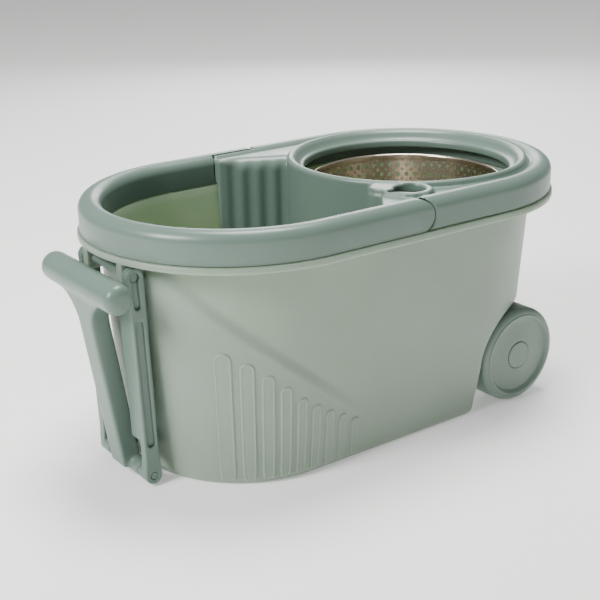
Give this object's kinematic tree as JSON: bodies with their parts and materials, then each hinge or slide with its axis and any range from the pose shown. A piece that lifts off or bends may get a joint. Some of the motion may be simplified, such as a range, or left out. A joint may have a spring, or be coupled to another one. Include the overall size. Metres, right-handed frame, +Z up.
{
  "type": "wheeled spin mop bucket",
  "caption": "Oval wheeled mop bucket with a spinning wringer basket, a bail handle and a fold-out tow handle.",
  "frame": {"origin": "on the tub's flat underside, below the middle of the rim", "axes": "+Z up, +X towards the wheels, the tow handle at -X, +Y to the left"},
  "size_m": [0.4828, 0.27, 0.23],
  "materials": {
    "tub_plastic": "satin translucent polypropylene",
    "cover_plastic": "satin",
    "wheel_plastic": "satin",
    "steel": "polished",
    "natural_plastic": "natural"
  },
  "bodies": {
    "bucket": {"tub": "tub_plastic", "wringer_cover": "cover_plastic", "bail_pivot_left": "cover_plastic", "bail_pivot_right": "cover_plastic", "spindle": "steel", "spindle_clip": "steel", "thrust_washer": "natural_plastic", "axle": "steel", "axle_clip_left": "steel", "axle_clip_right": "steel", "tow_top_pin": "cover_plastic"},
    "bail": {"bail_handle": "cover_plastic"},
    "basket": {"spin_basket": "steel", "basket_hub": "cover_plastic", "basket_seat": "cover_plastic", "basket_screw_1": "steel", "basket_screw_2": "steel", "basket_screw_3": "steel", "hub_bush": "natural_plastic"},
    "left_wheel": {"wheel_left": "wheel_plastic", "wheel_cap_left": "wheel_plastic"},
    "right_wheel": {"wheel_right": "wheel_plastic", "wheel_cap_right": "wheel_plastic"},
    "frame": {"tow_frame": "cover_plastic", "tow_foot_pin": "cover_plastic"},
    "handle": {"tow_handle": "cover_plastic"}
  },
  "joints": [
    {"name": "bail_swing", "type": "hinge", "parent": "bucket", "child": "bail", "pos_m": [-0.0035, 0, 0.222], "axis": [0, 1, 0], "range_deg": [0, 79]},
    {"name": "basket_spin", "type": "hinge", "parent": "bucket", "child": "basket", "pos_m": [0.095, 0, 0.2], "axis": [0, 0, 1], "continuous": true},
    {"name": "left_wheel_spin", "type": "hinge", "parent": "bucket", "child": "left_wheel", "pos_m": [0.148, 0.1, 0.0465], "axis": [0, 1, 0], "continuous": true},
    {"name": "right_wheel_spin", "type": "hinge", "parent": "bucket", "child": "right_wheel", "pos_m": [0.148, -0.1, 0.0465], "axis": [0, 1, 0], "continuous": true},
    {"name": "frame_swing", "type": "hinge", "parent": "bucket", "child": "frame", "pos_m": [-0.218, 0, 0.185], "axis": [0, 1, 0], "range_deg": [0, 30]},
    {"name": "handle_unfold", "type": "hinge", "parent": "frame", "child": "handle", "pos_m": [-0.213, 0, 0.01], "axis": [0, -1, 0], "range_deg": [0, 170]}
  ]
}
